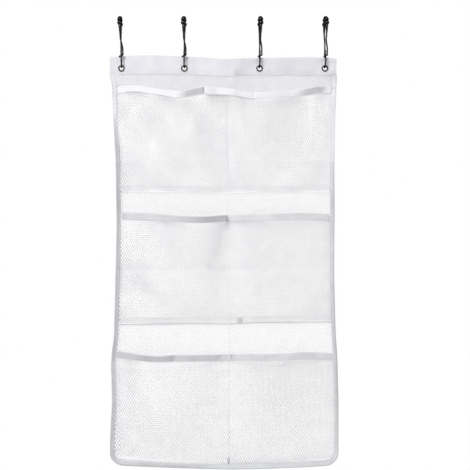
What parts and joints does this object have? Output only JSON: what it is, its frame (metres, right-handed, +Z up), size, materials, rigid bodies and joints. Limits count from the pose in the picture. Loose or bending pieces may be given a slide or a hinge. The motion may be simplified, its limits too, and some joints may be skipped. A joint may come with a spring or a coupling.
{
  "type": "hanging mesh shower organizer",
  "caption": "Hanging white mesh cloth panel with rows of open pockets, taped edges and an eyeleted header, hung from a shower rod by wire rings with rollers.",
  "frame": {"origin": "on the axis of the shower rod that the rings hang from, midway between the outer eyelets", "axes": "+X across the panel to the viewer's right, +Y from the front to the back, +Z up"},
  "size_m": [0.36, 0.041, 0.7165],
  "materials": {
    "mesh_cloth": "white knitted mesh with hexagon holes",
    "header_cloth": "white close-woven cloth",
    "tape": "grey-white satin binding tape",
    "tag_cloth": "plain grey woven tag",
    "eyelet_nickel": "dark nickel plate",
    "ring_chrome": "polished dark chrome wire",
    "roller_chrome": "polished dark chrome balls"
  },
  "bodies": {
    "ring_1": {"ring_wire_1": "ring_chrome"},
    "panel": {"back_panel": "mesh_cloth", "header_band": "header_cloth", "edge_binding": "tape", "upper_pockets": "mesh_cloth", "upper_mouth_tape": "tape", "middle_pockets": "mesh_cloth", "middle_mouth_tape": "tape", "lower_pockets": "mesh_cloth", "lower_mouth_tape": "tape", "sewn_tag": "tag_cloth", "eyelet_1": "eyelet_nickel", "eyelet_washer_1": "eyelet_nickel", "eyelet_2": "eyelet_nickel", "eyelet_washer_2": "eyelet_nickel", "eyelet_3": "eyelet_nickel", "eyelet_washer_3": "eyelet_nickel", "eyelet_4": "eyelet_nickel", "eyelet_washer_4": "eyelet_nickel"},
    "ring_2": {"ring_wire_2": "ring_chrome"},
    "ring_3": {"ring_wire_3": "ring_chrome"},
    "ring_4": {"ring_wire_4": "ring_chrome"},
    "roller_1_1": {"roller_1_1": "roller_chrome"},
    "roller_1_2": {"roller_1_2": "roller_chrome"},
    "roller_1_3": {"roller_1_3": "roller_chrome"},
    "roller_1_4": {"roller_1_4": "roller_chrome"},
    "roller_1_5": {"roller_1_5": "roller_chrome"},
    "roller_2_1": {"roller_2_1": "roller_chrome"},
    "roller_2_2": {"roller_2_2": "roller_chrome"},
    "roller_2_3": {"roller_2_3": "roller_chrome"},
    "roller_2_4": {"roller_2_4": "roller_chrome"},
    "roller_2_5": {"roller_2_5": "roller_chrome"},
    "roller_3_1": {"roller_3_1": "roller_chrome"},
    "roller_3_2": {"roller_3_2": "roller_chrome"},
    "roller_3_3": {"roller_3_3": "roller_chrome"},
    "roller_3_4": {"roller_3_4": "roller_chrome"},
    "roller_3_5": {"roller_3_5": "roller_chrome"},
    "roller_4_1": {"roller_4_1": "roller_chrome"},
    "roller_4_2": {"roller_4_2": "roller_chrome"},
    "roller_4_3": {"roller_4_3": "roller_chrome"},
    "roller_4_4": {"roller_4_4": "roller_chrome"},
    "roller_4_5": {"roller_4_5": "roller_chrome"}
  },
  "joints": [
    {"name": "panel_swing", "type": "hinge", "parent": "ring_1", "child": "panel", "pos_m": [-0.161, 0, -0.0515], "axis": [1, 0, 0], "range_deg": [-30, 30]},
    {"name": "ring_2_swing", "type": "hinge", "parent": "panel", "child": "ring_2", "pos_m": [-0.0615, 0, -0.0515], "axis": [1, 0, 0], "range_deg": [-30, 30]},
    {"name": "ring_3_swing", "type": "hinge", "parent": "panel", "child": "ring_3", "pos_m": [0.0575, 0, -0.0515], "axis": [1, 0, 0], "range_deg": [-30, 30]},
    {"name": "ring_4_swing", "type": "hinge", "parent": "panel", "child": "ring_4", "pos_m": [0.161, 0, -0.0515], "axis": [1, 0, 0], "range_deg": [-30, 30]},
    {"name": "roller_1_1_spin", "type": "hinge", "parent": "ring_1", "child": "roller_1_1", "pos_m": [-0.16294, -0.01492, 0.00853], "axis": [-0.0401, 0.5591, 0.8281], "continuous": true},
    {"name": "roller_1_2_spin", "type": "hinge", "parent": "ring_1", "child": "roller_1_2", "pos_m": [-0.16327, -0.00845, 0.01435], "axis": [-0.0326, 0.8828, 0.4686], "continuous": true},
    {"name": "roller_1_3_spin", "type": "hinge", "parent": "ring_1", "child": "roller_1_3", "pos_m": [-0.16349, 0, 0.01645], "axis": [-0.0174, 0.9998, -0.0006], "continuous": true},
    {"name": "roller_1_4_spin", "type": "hinge", "parent": "ring_1", "child": "roller_1_4", "pos_m": [-0.16356, 0.00845, 0.01434], "axis": [0.0018, 0.8828, -0.4697], "continuous": true},
    {"name": "roller_1_5_spin", "type": "hinge", "parent": "ring_1", "child": "roller_1_5", "pos_m": [-0.16346, 0.01492, 0.00852], "axis": [0.0206, 0.5591, -0.8288], "continuous": true},
    {"name": "roller_2_1_spin", "type": "hinge", "parent": "ring_2", "child": "roller_2_1", "pos_m": [-0.06262, -0.01492, 0.00856], "axis": [0.0045, 0.559, 0.8292], "continuous": true},
    {"name": "roller_2_2_spin", "type": "hinge", "parent": "ring_2", "child": "roller_2_2", "pos_m": [-0.06253, -0.00845, 0.01439], "axis": [0.0174, 0.8826, 0.4697], "continuous": true},
    {"name": "roller_2_3_spin", "type": "hinge", "parent": "ring_2", "child": "roller_2_3", "pos_m": [-0.06233, 0, 0.01649], "axis": [0.0262, 0.9997, 0.0003], "continuous": true},
    {"name": "roller_2_4_spin", "type": "hinge", "parent": "ring_2", "child": "roller_2_4", "pos_m": [-0.06208, 0.00845, 0.01439], "axis": [0.0288, 0.8826, -0.4692], "continuous": true},
    {"name": "roller_2_5_spin", "type": "hinge", "parent": "ring_2", "child": "roller_2_5", "pos_m": [-0.06184, 0.01492, 0.00857], "axis": [0.0248, 0.559, -0.8288], "continuous": true},
    {"name": "roller_3_1_spin", "type": "hinge", "parent": "ring_3", "child": "roller_3_1", "pos_m": [0.05964, -0.0149, 0.00853], "axis": [-0.0104, 0.5584, 0.8295], "continuous": true},
    {"name": "roller_3_2_spin", "type": "hinge", "parent": "ring_3", "child": "roller_3_2", "pos_m": [0.05944, -0.00844, 0.01437], "axis": [-0.0355, 0.8817, 0.4704], "continuous": true},
    {"name": "roller_3_3_spin", "type": "hinge", "parent": "ring_3", "child": "roller_3_3", "pos_m": [0.05904, 0, 0.01648], "axis": [-0.0523, 0.9986, 0.0012], "continuous": true},
    {"name": "roller_3_4_spin", "type": "hinge", "parent": "ring_3", "child": "roller_3_4", "pos_m": [0.05855, 0.00844, 0.01439], "axis": [-0.0568, 0.8817, -0.4683], "continuous": true},
    {"name": "roller_3_5_spin", "type": "hinge", "parent": "ring_3", "child": "roller_3_5", "pos_m": [0.05808, 0.0149, 0.00857], "axis": [-0.0481, 0.5584, -0.8282], "continuous": true},
    {"name": "roller_4_1_spin", "type": "hinge", "parent": "ring_4", "child": "roller_4_1", "pos_m": [0.16319, -0.01489, 0.00853], "axis": [-0.0231, 0.5578, 0.8296], "continuous": true},
    {"name": "roller_4_2_spin", "type": "hinge", "parent": "ring_4", "child": "roller_4_2", "pos_m": [0.16285, -0.00843, 0.01437], "axis": [-0.0526, 0.8808, 0.4706], "continuous": true},
    {"name": "roller_4_3_spin", "type": "hinge", "parent": "ring_4", "child": "roller_4_3", "pos_m": [0.16231, 0, 0.01649], "axis": [-0.0697, 0.9976, 0.0013], "continuous": true},
    {"name": "roller_4_4_spin", "type": "hinge", "parent": "ring_4", "child": "roller_4_4", "pos_m": [0.16168, 0.00843, 0.01439], "axis": [-0.0706, 0.8808, -0.4682], "continuous": true},
    {"name": "roller_4_5_spin", "type": "hinge", "parent": "ring_4", "child": "roller_4_5", "pos_m": [0.16111, 0.01489, 0.00857], "axis": [-0.0549, 0.5578, -0.8281], "continuous": true}
  ],
  "couplings": [
    {"joint": "ring_2_swing", "follows": "panel_swing", "ratio": -1},
    {"joint": "ring_3_swing", "follows": "panel_swing", "ratio": -1},
    {"joint": "ring_4_swing", "follows": "panel_swing", "ratio": -1}
  ]
}
